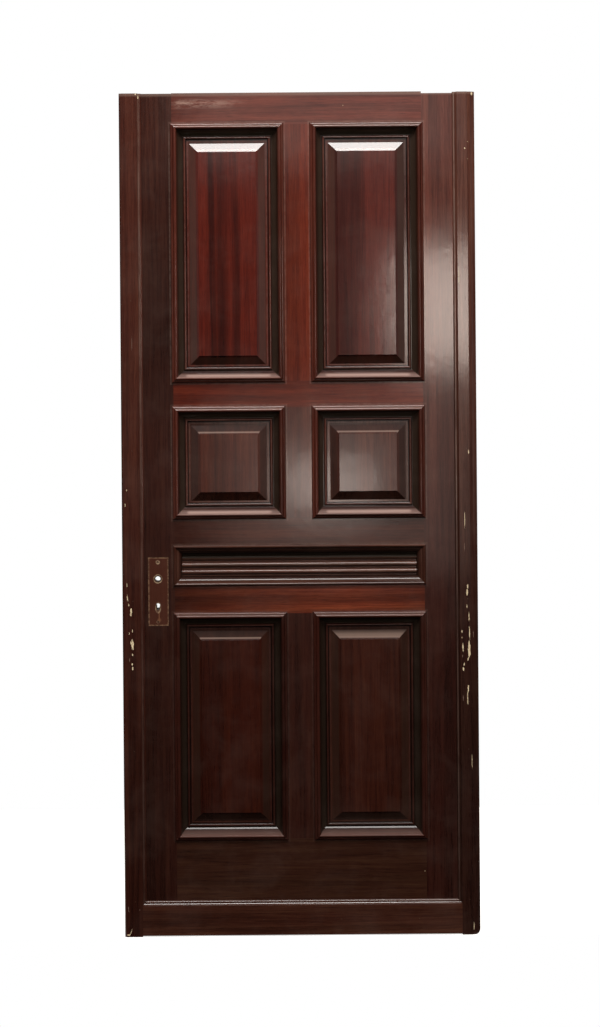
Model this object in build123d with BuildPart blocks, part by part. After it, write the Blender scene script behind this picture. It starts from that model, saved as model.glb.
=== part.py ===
from build123d import *
import os

os.makedirs("parts", exist_ok=True)

# A framed and panelled door leaf, in millimetres: X to the right, the front
# towards -Y, Z up. Heights are stacked from the foot of the leaf upwards.
leaf_thickness = 44.5
lock_stile_width = 133.0
hinge_stile_width = 134.4
opening_width = 279.6
mullion_width = 73.4
bottom_rail_height = 244.1
lower_opening_height = 570.8
lock_rail_height = 73.9
reeded_opening_height = 95.6
middle_rail_height = 73.3
small_opening_height = 279.4
upper_rail_height = 66.4
upper_opening_height = 650.1
top_rail_height = 80.4
lock_stile_trim = 1.0
hinge_stile_trim = 4.5
worn_foot_radius = 14.0

# Joints between the framing members
groove_width = 12.0
groove_depth = 12.0
long_tenon = 90.0
middle_tenon = 60.0
stub_tenon = 22.0
tenon_end_gap = 2.0
haunch_height = 35.0

# Panels, loose in their grooves and dropped on to the rail below
panel_side_gap = 2.5
panel_drop = 2.0
field_inset = 66.0
field_step = 2.0
field_chamfer = 0.7
bevel_width = 22.0
field_depth = 6.0

# Reeded panel under the middle rail
reed_count = 3
reed_bead_width = 4.2
reed_bed = 1.5
reed_gap = 0.3
reed_clearance = 0.1

# Raised mouldings that lap over the framing round each opening
moulding_rise = 11.0
moulding_lap = 4.0
edge_thickness = 1.6
shoulder_width = 6.5
shoulder_rise = 7.0
shoulder_swell = 1.6
crest_width = 9.5
crest_quirk = 0.8
slope_width = 13.6
slope_hollow = 2.5
quirk_width = 2.8
quirk_depth = 1.2
bead_width = 7.6
bead_rise = 3.4
bead_seat = 3.2

# The smaller moulding round the reeded panel
narrow_moulding_width = 23.0
narrow_shoulder = 4.2
narrow_rise = 9.0
narrow_crest = 5.0
narrow_crest_fall = 5.0
narrow_swell = 0.8
narrow_step_rise = 2.6
narrow_step = 4.0
narrow_drop = 0.8
narrow_ovolo_seat = 5.5
narrow_ovolo_swell = 1.4

# The plain mouldings at the back
back_moulding_width = 15.0
back_moulding_fillet = 2.0
back_moulding_swell = 3.2

# Proud border strips on the two sides and the foot
strip_width = 56.5
strip_rise = 9.0
strip_mould_width = 10.5
strip_mould_bead = 5.0
strip_quirk = 0.7
border_height = 89.2
border_foot_gap = 3.0
lock_edge_radius = 7.0
hinge_edge_round = 19.5
hinge_edge_step = 1.6
hinge_strip_trim = 2.5

# Nails of the border strips
nail_diameter = 2.4
nail_length = 22.0
nail_clearance = 0.1
nail_inset = 27.0
nail_end_margin = 145.0
nails_per_side = 6
nails_along_foot = 4
foot_nail_height = 42.0

# Lock: the pocket in the edge, and the holes that its removed furniture left
spindle_height = 904.0
lock_backset = 90.0
spindle_bore = 18.0
key_spacing = 67.5
keyhole_diameter = 11.0
keyhole_slot_width = 7.0
keyhole_slot_drop = 11.0
case_height = 150.0
case_depth = 104.0
case_thickness = 16.0
case_above_spindle = 42.0
faceplate_height = 190.0
faceplate_width = 24.0
faceplate_depth = 3.0
faceplate_screw_spacing = 168.0
plate_screw_spacing = 151.0
plate_screw_above_spindle = 42.5
screw_hole_diameter = 3.0
screw_hole_depth = 12.0

# Hinge recesses in the edge of the hinge stile
hinge_height = 114.0
hinge_leaf_width = 35.0
hinge_recess_depth = 3.5
hinge_top_margin = 178.0
hinge_foot_margin = 254.0
hinge_screw_columns = 16.0
hinge_screw_rows = 84.0
hinge_hole_diameter = 3.5
hinge_hole_depth = 28.0

# Levels across the leaf
leaf_width = lock_stile_width + 2 * opening_width + mullion_width + hinge_stile_width
lock_edge = -leaf_width / 2
hinge_edge = leaf_width / 2
left_opening = (lock_edge + lock_stile_width, lock_edge + lock_stile_width + opening_width)
right_opening = (hinge_edge - hinge_stile_width - opening_width, hinge_edge - hinge_stile_width)
wide_opening = (left_opening[0], right_opening[1])

# Levels up the leaf
lower_opening = (bottom_rail_height, bottom_rail_height + lower_opening_height)
lock_rail_top = lower_opening[1] + lock_rail_height
reeded_opening = (lock_rail_top, lock_rail_top + reeded_opening_height)
middle_rail_top = reeded_opening[1] + middle_rail_height
small_opening = (middle_rail_top, middle_rail_top + small_opening_height)
upper_rail_top = small_opening[1] + upper_rail_height
upper_opening = (upper_rail_top, upper_rail_top + upper_opening_height)
leaf_height = upper_opening[1] + top_rail_height

# Levels through the leaf: the moulding crests and the back are equally far from Y = 0
front = moulding_rise - (leaf_thickness + moulding_rise) / 2
back = front + leaf_thickness
middle = (front + back) / 2
tongue_front = middle - groove_width / 2
tongue_back = middle + groove_width / 2
margin_depth = tongue_front - front


def block(across, through, up, mode=Mode.ADD):
    """Adds or cuts a squared block between two levels each way."""
    with Locations((across[0], through[0], up[0])):
        Box(
            across[1] - across[0],
            through[1] - through[0],
            up[1] - up[0],
            align=(Align.MIN, Align.MIN, Align.MIN),
            mode=mode,
        )


def keep(piece, name):
    """Names a finished piece and writes it out."""
    piece.part.label = name
    export_step(piece.part, f"parts/{name}.step")


# Each rail: its foot and top, the length of its tenons, and where they start and end
tenon = (tongue_front, tongue_back)
rails = {
    "bottom_rail": (0, lower_opening[0], long_tenon, haunch_height, lower_opening[0] - groove_depth),
    "lock_rail": (
        lower_opening[1],
        lock_rail_top,
        stub_tenon,
        lower_opening[1] + groove_depth,
        lock_rail_top - groove_depth,
    ),
    "middle_rail": (
        reeded_opening[1],
        middle_rail_top,
        middle_tenon,
        reeded_opening[1] + groove_depth,
        middle_rail_top - groove_depth,
    ),
    "upper_rail": (
        small_opening[1],
        upper_rail_top,
        middle_tenon,
        small_opening[1] + groove_depth,
        upper_rail_top - groove_depth,
    ),
    "top_rail": (
        upper_opening[1],
        leaf_height,
        long_tenon,
        upper_opening[1] + groove_depth,
        leaf_height - haunch_height,
    ),
}

lock_case_up = (
    spindle_height + case_above_spindle - case_height,
    spindle_height + case_above_spindle,
)
lock_middle_height = (lock_case_up[0] + lock_case_up[1]) / 2
spindle_x = lock_edge + lock_backset
foot_nail_pitch = (leaf_width - 2 * strip_width) / nails_along_foot
side_nail_pitch = (leaf_height - nail_end_margin - border_height) / (nails_per_side - 1)

# Nail places on the front: up both sides and along the foot
side_nails = [
    (side * (leaf_width / 2 - nail_inset), leaf_height - nail_end_margin - row * side_nail_pitch)
    for side in (-1, 1)
    for row in range(nails_per_side)
]
foot_nails = [
    (lock_edge + strip_width + (step + 0.5) * foot_nail_pitch, foot_nail_height)
    for step in range(nails_along_foot)
]
nail_face = front - strip_rise
face_plane = Plane(origin=(0, nail_face, 0), x_dir=(1, 0, 0), z_dir=(0, 1, 0))


def nail_pins(diameter, mode=Mode.ADD):
    """Round nails driven from the strip faces into the leaf; the plane's Y runs down."""
    with BuildSketch(face_plane) as pins:
        with Locations(*[(x, -z) for x, z in side_nails + foot_nails]):
            Circle(diameter / 2)
    extrude(pins.sketch, amount=nail_length, mode=mode)


# Lock stile: grooved inner edge, mortises, lock pocket, spindle bore and keyhole
with BuildPart() as lock_stile:
    with BuildSketch():
        with Locations(((lock_edge + left_opening[0]) / 2, middle)):
            Rectangle(lock_stile_width, leaf_thickness)
        with Locations((left_opening[0] - groove_depth / 2, middle)):
            Rectangle(groove_depth, groove_width, mode=Mode.SUBTRACT)
    extrude(amount=leaf_height - lock_stile_trim)
    for foot, top, length, tenon_foot, tenon_top in rails.values():
        mortise = (left_opening[0] - length - tenon_end_gap, left_opening[0])
        block(mortise, tenon, (tenon_foot, tenon_top), mode=Mode.SUBTRACT)
    case = (lock_edge, lock_edge + case_depth)
    case_through = (middle - case_thickness / 2, middle + case_thickness / 2)
    block(case, case_through, lock_case_up, mode=Mode.SUBTRACT)
    faceplate = (middle - faceplate_width / 2, middle + faceplate_width / 2)
    faceplate_up = (lock_middle_height - faceplate_height / 2, lock_middle_height + faceplate_height / 2)
    block((lock_edge, lock_edge + faceplate_depth), faceplate, faceplate_up, mode=Mode.SUBTRACT)
    with BuildSketch(Plane(origin=(0, front, 0), x_dir=(1, 0, 0), z_dir=(0, 1, 0))):
        with Locations((spindle_x, -spindle_height)):
            Circle(spindle_bore / 2)
        with Locations((spindle_x, -(spindle_height - key_spacing))):
            Circle(keyhole_diameter / 2)
        with Locations((spindle_x, -(spindle_height - key_spacing - keyhole_slot_drop / 2))):
            Rectangle(keyhole_slot_width, keyhole_slot_drop)
    extrude(amount=leaf_thickness, mode=Mode.SUBTRACT)
    plate_screws = [
        (spindle_x, -(spindle_height + plate_screw_above_spindle)),
        (spindle_x, -(spindle_height + plate_screw_above_spindle - plate_screw_spacing)),
    ]
    with BuildSketch(Plane(origin=(0, front, 0), x_dir=(1, 0, 0), z_dir=(0, 1, 0))):
        with Locations(*plate_screws):
            Circle(screw_hole_diameter / 2)
    extrude(amount=screw_hole_depth, mode=Mode.SUBTRACT)
    with BuildSketch(Plane(origin=(lock_edge, 0, 0), x_dir=(0, 1, 0), z_dir=(1, 0, 0))):
        with Locations(
            (middle, lock_middle_height - faceplate_screw_spacing / 2),
            (middle, lock_middle_height + faceplate_screw_spacing / 2),
        ):
            Circle(screw_hole_diameter / 2)
    extrude(amount=faceplate_depth + screw_hole_depth, mode=Mode.SUBTRACT)
    nail_pins(nail_diameter + nail_clearance, mode=Mode.SUBTRACT)
keep(lock_stile, "lock_stile")

# Hinge stile: grooved inner edge, mortises and three hinge recesses open to the back
hinge_tops = [
    leaf_height - hinge_stile_trim - hinge_top_margin,
    (leaf_height - hinge_top_margin + hinge_foot_margin + hinge_height) / 2,
    hinge_foot_margin + hinge_height,
]
hinge_column = back - hinge_leaf_width / 2
with BuildPart() as hinge_stile:
    with BuildSketch():
        with Locations(((hinge_edge + right_opening[1]) / 2, middle)):
            Rectangle(hinge_stile_width, leaf_thickness)
        with Locations((right_opening[1] + groove_depth / 2, middle)):
            Rectangle(groove_depth, groove_width, mode=Mode.SUBTRACT)
    extrude(amount=leaf_height - hinge_stile_trim)
    for foot, top, length, tenon_foot, tenon_top in rails.values():
        mortise = (right_opening[1], right_opening[1] + length + tenon_end_gap)
        block(mortise, tenon, (tenon_foot, tenon_top), mode=Mode.SUBTRACT)
    for hinge_top in hinge_tops:
        block(
            (hinge_edge - hinge_recess_depth, hinge_edge),
            (back - hinge_leaf_width, back),
            (hinge_top - hinge_height, hinge_top),
            mode=Mode.SUBTRACT,
        )
    with BuildSketch(Plane(origin=(hinge_edge, 0, 0), x_dir=(0, -1, 0), z_dir=(-1, 0, 0))):
        for hinge_top in hinge_tops:
            with Locations((-hinge_column, hinge_top - hinge_height / 2)):
                with GridLocations(hinge_screw_columns, hinge_screw_rows, 2, 2):
                    Circle(hinge_hole_diameter / 2)
    extrude(amount=hinge_hole_depth, mode=Mode.SUBTRACT)
    foot_corner = hinge_stile.edges().filter_by(Axis.Y).group_by(Axis.Z)[0].sort_by(Axis.X)[-1]
    fillet(foot_corner, radius=worn_foot_radius)
    nail_pins(nail_diameter + nail_clearance, mode=Mode.SUBTRACT)
keep(hinge_stile, "hinge_stile")

# Rails: grooved edges between the stiles, and a haunched tenon at each end
for name, (foot, top, length, tenon_foot, tenon_top) in rails.items():
    grooved_edges = [foot] * (name != "bottom_rail") + [top] * (name != "top_rail")
    haunch_foot = foot + groove_depth * (foot in grooved_edges)
    haunch_top = top - groove_depth * (top in grooved_edges)
    with BuildPart() as rail:
        with BuildSketch(Plane.YZ.offset(wide_opening[0])):
            with Locations((middle, (foot + top) / 2)):
                Rectangle(leaf_thickness, top - foot)
            with Locations(*[(middle, edge) for edge in grooved_edges]):
                Rectangle(groove_width, 2 * groove_depth, mode=Mode.SUBTRACT)
        extrude(amount=wide_opening[1] - wide_opening[0])
        block(
            (wide_opening[0] - groove_depth, wide_opening[0]),
            tenon,
            (haunch_foot, min(haunch_top, leaf_height - lock_stile_trim)),
        )
        block(
            (wide_opening[1], wide_opening[1] + groove_depth),
            tenon,
            (haunch_foot, min(haunch_top, leaf_height - hinge_stile_trim)),
        )
        block((wide_opening[0] - length, wide_opening[0]), tenon, (tenon_foot, tenon_top))
        block((wide_opening[1], wide_opening[1] + length), tenon, (tenon_foot, tenon_top))
        if name == "bottom_rail":
            nail_pins(nail_diameter + nail_clearance, mode=Mode.SUBTRACT)
    keep(rail, name)

# Mullions: grooved on both edges, with stub tenons that seat in the rail grooves
mullion_middle = (left_opening[1] + right_opening[0]) / 2
mullions = {
    "lower_mullion": lower_opening,
    "small_mullion": small_opening,
    "upper_mullion": upper_opening,
}
for name, (foot, top) in mullions.items():
    with BuildPart() as mullion:
        with BuildSketch(Plane.XY.offset(foot)):
            with Locations((mullion_middle, middle)):
                Rectangle(mullion_width, leaf_thickness)
            with Locations((left_opening[1], middle), (right_opening[0], middle)):
                Rectangle(2 * groove_depth, groove_width, mode=Mode.SUBTRACT)
        extrude(amount=top - foot)
        tenon_across = (left_opening[1] + groove_depth, right_opening[0] - groove_depth)
        block(tenon_across, tenon, (foot - groove_depth, top + groove_depth))
    keep(mullion, name)


def tongued_board(across, up):
    """The flat board of a panel, which reaches into the grooves on all four edges."""
    sides = (across[0] - groove_depth + panel_side_gap, across[1] + groove_depth - panel_side_gap)
    block(sides, tenon, (up[0] - groove_depth, up[1] + groove_depth - 2 * panel_drop))


def set_in(plane_y, across, up, inset):
    """A rectangle set in from the opening, on an upright plane that faces the front."""
    width = across[1] - across[0] - 2 * inset
    height = up[1] - up[0] - 2 * inset
    centre = ((across[0] + across[1]) / 2, plane_y, (up[0] + up[1]) / 2 - panel_drop)
    with BuildSketch(Plane(origin=centre, x_dir=(1, 0, 0), z_dir=(0, -1, 0))) as outline:
        Rectangle(width, height)
    return outline.sketch


# Raised and fielded panels: margin, bevel, a small step and the flat field
openings = {
    "upper_left": (left_opening, upper_opening),
    "upper_right": (right_opening, upper_opening),
    "small_left": (left_opening, small_opening),
    "small_right": (right_opening, small_opening),
    "lower_left": (left_opening, lower_opening),
    "lower_right": (right_opening, lower_opening),
}
bevel_top = front + field_depth + field_step
for name, (across, up) in openings.items():
    with BuildPart() as panel:
        tongued_board(across, up)
        bevel_foot = set_in(tongue_front, across, up, field_inset - bevel_width)
        bevel_head = set_in(bevel_top, across, up, field_inset)
        loft([bevel_foot.face(), bevel_head.face()])
        extrude(bevel_head, amount=field_step)
        field_edges = panel.faces().sort_by(Axis.Y)[0].edges()
        chamfer(field_edges, length=field_chamfer)
    keep(panel, f"{name}_panel")

# Reeded panel: wide reeds with narrow beads between and beside them, inside the moulding
reeded_inset = narrow_moulding_width - moulding_lap + reed_clearance
reeded_foot = reeded_opening[0] + reeded_inset
reeded_height = reeded_opening_height - 2 * reeded_inset
reeded_middle = reeded_foot + reeded_height / 2
reed_width = (reeded_height - (reed_count + 1) * reed_bead_width) / reed_count
reeded_across = (wide_opening[0] + reeded_inset, wide_opening[1] - reeded_inset)
reed_pitch = reed_width + reed_bead_width
bed_face = tongue_front - reed_bed
with BuildPart() as reeded_panel:
    tongued_board(wide_opening, reeded_opening)
    block(reeded_across, (bed_face, tongue_front), (reeded_foot, reeded_foot + reeded_height))
    with BuildSketch(Plane.YZ.offset(reeded_across[0])) as reeds:
        for row in range(reed_count):
            with Locations((bed_face, reeded_foot + reed_bead_width + reed_width / 2 + row * reed_pitch)):
                Circle((reed_width - reed_gap) / 2)
        for row in range(reed_count + 1):
            with Locations((bed_face, reeded_foot + reed_bead_width / 2 + row * reed_pitch)):
                Circle((reed_bead_width - reed_gap) / 2)
        with Locations((bed_face + reed_width / 2, reeded_middle)):
            Rectangle(reed_width, 2 * reeded_height, mode=Mode.SUBTRACT)
    extrude(amount=reeded_across[1] - reeded_across[0])
keep(reeded_panel, "reeded_panel")


def hollow_middle(start, end, sag):
    """The point halfway along an arc between two points, sag away to the right of the run."""
    across = end[0] - start[0]
    down = end[1] - start[1]
    run = (across**2 + down**2) ** 0.5
    return (
        (start[0] + end[0]) / 2 + sag * down / run,
        (start[1] + end[1]) / 2 - sag * across / run,
    )


def bow(start, end, sag):
    """An arc between two points of a section: a positive sag hollows it, a negative one swells it."""
    ThreePointArc(start, hollow_middle(start, end, sag), end)


def bolection_section():
    """Outline of a raised moulding: x runs in from its outer edge, y out from the leaf face.

    A rounded shoulder rises to a broad crest, a hollow slope falls below the leaf face,
    and a quirk and a bead end it on the panel's margin. The back is rebated over the
    edge of the framing.
    """
    crest_start = (shoulder_width, shoulder_rise - crest_quirk)
    crest_end = (shoulder_width + crest_width, shoulder_rise)
    slope_end = (crest_end[0] + slope_width, bead_seat - margin_depth)
    quirk_floor = slope_end[1] - quirk_depth
    bead_start = (slope_end[0] + quirk_width, slope_end[1])
    bead_end = (bead_start[0] + bead_width, bead_start[1])
    Line((0, 0), (0, edge_thickness))
    bow((0, edge_thickness), (shoulder_width - crest_quirk, shoulder_rise), -shoulder_swell)
    Line((shoulder_width - crest_quirk, shoulder_rise), crest_start)
    ThreePointArc(crest_start, (shoulder_width + crest_width / 2, moulding_rise), crest_end)
    bow(crest_end, slope_end, slope_hollow)
    Polyline(
        slope_end,
        (slope_end[0] + quirk_width / 3, quirk_floor),
        (slope_end[0] + 2 * quirk_width / 3, quirk_floor),
        bead_start,
    )
    ThreePointArc(bead_start, (bead_start[0] + bead_width / 2, bead_start[1] + bead_rise), bead_end)
    Polyline(
        bead_end,
        (bead_end[0], -margin_depth),
        (moulding_lap, -margin_depth),
        (moulding_lap, 0),
        (0, 0),
    )


def narrow_section():
    """Outline of the smaller moulding round the reeded panel: a crest, a step and an ovolo."""
    crest_end = (narrow_shoulder + narrow_crest, narrow_crest_fall)
    step_start = (crest_end[0] + narrow_drop, narrow_step_rise)
    step_end = (step_start[0] + narrow_step, narrow_step_rise - narrow_drop)
    ovolo_start = (step_end[0] + narrow_drop, step_end[1] - narrow_step / 2)
    ovolo_end = (narrow_moulding_width, narrow_ovolo_seat - margin_depth)
    Line((0, 0), (0, edge_thickness))
    bow((0, edge_thickness), (narrow_shoulder, narrow_rise), -narrow_swell)
    bow((narrow_shoulder, narrow_rise), crest_end, -narrow_swell)
    Polyline(crest_end, step_start, step_end, ovolo_start)
    bow(ovolo_start, ovolo_end, -narrow_ovolo_swell)
    Polyline(
        ovolo_end,
        (ovolo_end[0], -margin_depth),
        (moulding_lap, -margin_depth),
        (moulding_lap, 0),
        (0, 0),
    )


def back_section():
    """Outline of the plain ovolo behind the panels, flush with the back of the leaf."""
    corner = (back_moulding_width, -margin_depth)
    Polyline(corner, (0, -margin_depth), (0, 0), (back_moulding_fillet, 0))
    Line((back_moulding_fillet, 0), (back_moulding_fillet, -back_moulding_fillet))
    ovolo_end = (back_moulding_width, back_moulding_fillet - margin_depth)
    bow((back_moulding_fillet, -back_moulding_fillet), ovolo_end, -back_moulding_swell)
    Line(ovolo_end, corner)


def mitred_length(start, end, outward, section):
    """One length of moulding between two outer corners, cut at 45 degrees at each end.

    Its direction and the outward normal make the third axis, which points into the opening.
    """
    along = (end - start).normalized()
    inward = outward.cross(along)
    with BuildPart() as length:
        with BuildSketch(Plane(origin=start, x_dir=inward, z_dir=along)):
            with BuildLine():
                section()
            make_face()
        extrude(amount=(end - start).length)
        split(bisect_by=Plane(origin=start, z_dir=along - inward), keep=Keep.TOP)
        split(bisect_by=Plane(origin=end, z_dir=-along - inward), keep=Keep.TOP)
    return length


def opening_corners(across, up, face, lap):
    """The corners of an opening, lapped on to the framing, anticlockwise from the foot left."""
    low_x, high_x = across[0] - lap, across[1] + lap
    low_z, high_z = up[0] - lap, up[1] + lap
    return [
        Vector(low_x, face, low_z),
        Vector(high_x, face, low_z),
        Vector(high_x, face, high_z),
        Vector(low_x, face, high_z),
    ]


# Front mouldings: four mitred lengths round every opening, each a piece of its own
openings["reeded"] = (wide_opening, reeded_opening)
for name, (across, up) in openings.items():
    corners = opening_corners(across, up, front, moulding_lap)
    section = narrow_section if name == "reeded" else bolection_section
    for side, side_name in enumerate(("bottom", "right", "top", "left")):
        length = mitred_length(corners[side], corners[(side + 1) % 4], Vector(0, -1, 0), section)
        keep(length, f"{name}_{side_name}_moulding")

# Back mouldings: four mitred lengths behind each panel, kept together as one group
for name, (across, up) in openings.items():
    corners = opening_corners(across, up, back, 0)[::-1]
    lengths = [
        mitred_length(corners[side], corners[(side + 1) % 4], Vector(0, 1, 0), back_section)
        for side in range(4)
    ]
    with BuildPart() as back_moulding:
        for length in lengths:
            add(length.part)
    keep(back_moulding, f"{name}_back_moulding")


def strip_section(outer_edge):
    """Outline of a border strip: x runs out from its moulded edge, y out from the leaf face."""
    bead_top = (strip_mould_bead, strip_rise / 2)
    cove_foot = (strip_mould_bead + strip_quirk, strip_rise / 2 - strip_quirk)
    Line((0, 0), (0, edge_thickness / 2))
    bow((0, edge_thickness / 2), bead_top, -strip_mould_bead / 4)
    Line(bead_top, cove_foot)
    bow(cove_foot, (strip_mould_width, strip_rise), strip_quirk)
    outer_edge((strip_mould_width, strip_rise))
    Line((strip_width, 0), (0, 0))


def eased_edge(face_start):
    """The lock side: a small rounded arris."""
    round_start = (strip_width - lock_edge_radius, strip_rise)
    round_end = (strip_width, strip_rise - lock_edge_radius)
    Line(face_start, round_start)
    bow(round_start, round_end, -lock_edge_radius * (1 - 0.5**0.5))
    Line(round_end, (strip_width, 0))


def rounded_edge(face_start):
    """The hinge side: a small step, then a broad rounding down to the leaf's edge."""
    round_start = (strip_width - hinge_edge_round, strip_rise)
    step_foot = (round_start[0] + hinge_edge_step / 2, strip_rise - hinge_edge_step)
    Polyline(face_start, round_start, step_foot)
    bow(step_foot, (strip_width, edge_thickness), -hinge_edge_step)
    Line((strip_width, edge_thickness), (strip_width, 0))


def square_edge(face_start):
    """The foot: a squared lower edge."""
    Polyline(face_start, (foot_strip_width, strip_rise), (foot_strip_width, 0), (strip_width, 0))


# Border strips: the sides run to the floor and meet the foot strip, with mitred moulded edges
moulded_foot = border_height - strip_mould_width
foot_strip_width = border_height - border_foot_gap
side_strips = {
    "lock_side_strip": (lock_edge, -1, eased_edge, leaf_height - lock_stile_trim),
    "hinge_side_strip": (hinge_edge, 1, rounded_edge, leaf_height - hinge_strip_trim),
}
for name, (edge, side, outer_edge, top) in side_strips.items():
    inner = edge - side * strip_width
    arris = inner + side * strip_mould_width
    with BuildPart() as strip:
        with BuildSketch(Plane(origin=(inner, front, 0), x_dir=(side, 0, 0), z_dir=(0, 0, -side))):
            with BuildLine():
                strip_section(outer_edge)
            make_face()
        extrude(amount=-side * top)
        with BuildSketch(Plane(origin=(0, front, 0), x_dir=(1, 0, 0), z_dir=(0, -1, 0))):
            with BuildLine():
                Polyline((arris, 0), (inner, 0), (inner, border_height), (arris, moulded_foot), close=True)
            make_face()
        extrude(amount=strip_rise, mode=Mode.SUBTRACT)
        if side > 0:
            foot_corner = strip.edges().filter_by(Axis.Y).group_by(Axis.Z)[0].sort_by(Axis.X)[-1]
            fillet(foot_corner, radius=worn_foot_radius)
        nail_pins(nail_diameter + nail_clearance, mode=Mode.SUBTRACT)
    keep(strip, name)

foot_start = lock_edge + strip_width - strip_mould_width
foot_end = hinge_edge - strip_width + strip_mould_width
with BuildPart() as foot_strip:
    with BuildSketch(Plane(origin=(foot_end, front, border_height), x_dir=(0, 0, -1), z_dir=(-1, 0, 0))):
        with BuildLine():
            strip_section(square_edge)
        make_face()
    extrude(amount=foot_end - foot_start)
    split(
        bisect_by=Plane(origin=(foot_start, front, moulded_foot), z_dir=(1, 0, -1)),
        keep=Keep.TOP,
    )
    split(
        bisect_by=Plane(origin=(foot_end, front, moulded_foot), z_dir=(-1, 0, -1)),
        keep=Keep.TOP,
    )
    nail_pins(nail_diameter + nail_clearance, mode=Mode.SUBTRACT)
keep(foot_strip, "foot_strip")

# Nails through the strips, one group
with BuildPart() as border_nails:
    nail_pins(nail_diameter)
keep(border_nails, "border_nails")
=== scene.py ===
"""The look of an old panelled door: glossy red-brown mahogany, dusty varnish lines, worn edges,
the marks of its missing lock furniture, soft studio light and the camera.

x runs from the lock side to the hinge side, y from the front to the back and z upward. Numbers for marks
and mouldings are in mm, and those for the camera and the lights in metres."""

import math
import random
from functools import reduce

import bpy
from mathutils import Matrix, Vector
from mathutils.bvhtree import BVHTree


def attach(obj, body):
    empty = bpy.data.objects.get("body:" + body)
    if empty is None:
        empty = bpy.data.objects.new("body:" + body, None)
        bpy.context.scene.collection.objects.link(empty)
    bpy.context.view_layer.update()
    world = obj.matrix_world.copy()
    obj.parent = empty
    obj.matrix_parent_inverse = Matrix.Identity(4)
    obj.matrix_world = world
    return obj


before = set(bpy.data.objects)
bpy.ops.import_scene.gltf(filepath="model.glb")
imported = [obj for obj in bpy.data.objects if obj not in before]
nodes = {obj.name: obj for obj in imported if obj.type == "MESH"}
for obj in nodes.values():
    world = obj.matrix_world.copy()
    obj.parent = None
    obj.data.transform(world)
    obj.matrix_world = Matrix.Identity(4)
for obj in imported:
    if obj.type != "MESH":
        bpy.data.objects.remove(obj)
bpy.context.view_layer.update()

MM = 0.001
MM_PER_METRE = 1000.0

# A Mix node has sockets for numbers, vectors and colours. These are the ones for colours.
MIX_FACTOR, MIX_FIRST, MIX_SECOND, MIX_RESULT = 0, 6, 7, 2


def linear(red, green, blue):
    """A colour written as it looks on screen, 0 to 255, as the light values that a shader takes."""
    channels = [channel / 255 for channel in (red, green, blue)]
    light = [c / 12.92 if c < 0.04045 else ((c + 0.055) / 1.055) ** 2.4 for c in channels]
    return (*light, 1.0)


class Graph:
    """The nodes of a material or of the world. Most methods add nodes and return their result's socket.
    Wherever a value is asked for, it is a number or another node's socket."""

    def __init__(self, tree):
        self.tree = tree
        tree.nodes.clear()

    def feed(self, socket, value):
        if isinstance(value, bpy.types.NodeSocket):
            self.tree.links.new(value, socket)
        else:
            socket.default_value = value

    def node(self, kind, inputs=None, **settings):
        made = self.tree.nodes.new("ShaderNode" + kind)
        for key, value in settings.items():
            setattr(made, key, value)
        for key, value in (inputs or {}).items():
            self.feed(made.inputs[key], value)
        return made

    def show(self, shader, output="OutputMaterial"):
        self.feed(self.node(output).inputs["Surface"], shader.outputs[0])

    def math(self, operation, *values):
        made = self.node("Math", operation=operation)
        for socket, value in zip(made.inputs, values):
            self.feed(socket, value)
        return made.outputs[0]

    def total(self, *values):
        return reduce(lambda first, second: self.math("ADD", first, second), values)

    def product(self, *values):
        return reduce(lambda first, second: self.math("MULTIPLY", first, second), values)

    def largest(self, *values):
        return reduce(lambda first, second: self.math("MAXIMUM", first, second), values)

    def smallest(self, *values):
        return reduce(lambda first, second: self.math("MINIMUM", first, second), values)

    def scaled(self, vector, factors):
        return self.node("VectorMath", {0: vector, 1: factors}, operation="MULTIPLY").outputs[0]

    def split(self, vector):
        return self.node("SeparateXYZ", {0: vector}).outputs

    def noise(self, vector, scale, detail=2.0, roughness=0.5, distortion=0.0):
        inputs = {"Vector": vector, "Scale": scale, "Detail": detail, "Roughness": roughness,
                  "Distortion": distortion}
        return self.node("TexNoise", inputs).outputs["Fac"]

    def range(self, value, low, high, start=0.0, end=1.0, smooth=True):
        """start where value is low, end where it is high, and in between where it is between."""
        inputs = {"Value": value, "From Min": low, "From Max": high, "To Min": start, "To Max": end}
        made = self.node("MapRange", inputs, interpolation_type="SMOOTHSTEP" if smooth else "LINEAR")
        return made.outputs["Result"]

    def ramp(self, factor, stops):
        """stops is a list of (place from 0 to 1, colour or grey level)."""
        made = self.node("ValToRGB", {"Fac": factor})
        elements = made.color_ramp.elements
        while len(elements) < len(stops):
            elements.new(0.5)
        for element, (place, colour) in zip(elements, stops):
            element.position = place
            element.color = colour if isinstance(colour, tuple) else (colour, colour, colour, 1.0)
        return made.outputs["Color"]

    def levels(self, value, stops):
        """A curve through stops, a list of (value, level from 0 to 1), straight between them."""
        first, last = stops[0][0], stops[-1][0]
        factor = self.range(value, first, last, smooth=False)
        return self.ramp(factor, [((at - first) / (last - first), level) for at, level in stops])

    def mix(self, factor, first, second, blend="MIX"):
        inputs = {MIX_FACTOR: factor, MIX_FIRST: first, MIX_SECOND: second}
        return self.node("Mix", inputs, data_type="RGBA", blend_type=blend).outputs[MIX_RESULT]

    def shaded(self, colour, level, where=1.0):
        """The colour times a level, only as far as where says."""
        return self.mix(where, colour, level, "MULTIPLY")

    def bump(self, height, strength, distance):
        inputs = {"Height": height, "Strength": strength, "Distance": distance}
        return self.node("Bump", inputs).outputs[0]


def new_material(name):
    material = bpy.data.materials.new(name)
    material.use_nodes = True
    return material, Graph(material.node_tree)


# The openings between the frame's boards: middle and half width, middle and half height.
OPENING_COLUMNS = [(-177.2, 139.8), (175.8, 139.8)]
OPENING_ROWS = [(529.5, 285.4), (1197.4, 139.7), (1728.55, 325.05)]
REEDED_COLUMNS = [(-0.7, 316.3)]
REEDED_ROWS = [(936.6, 47.8)]
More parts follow.
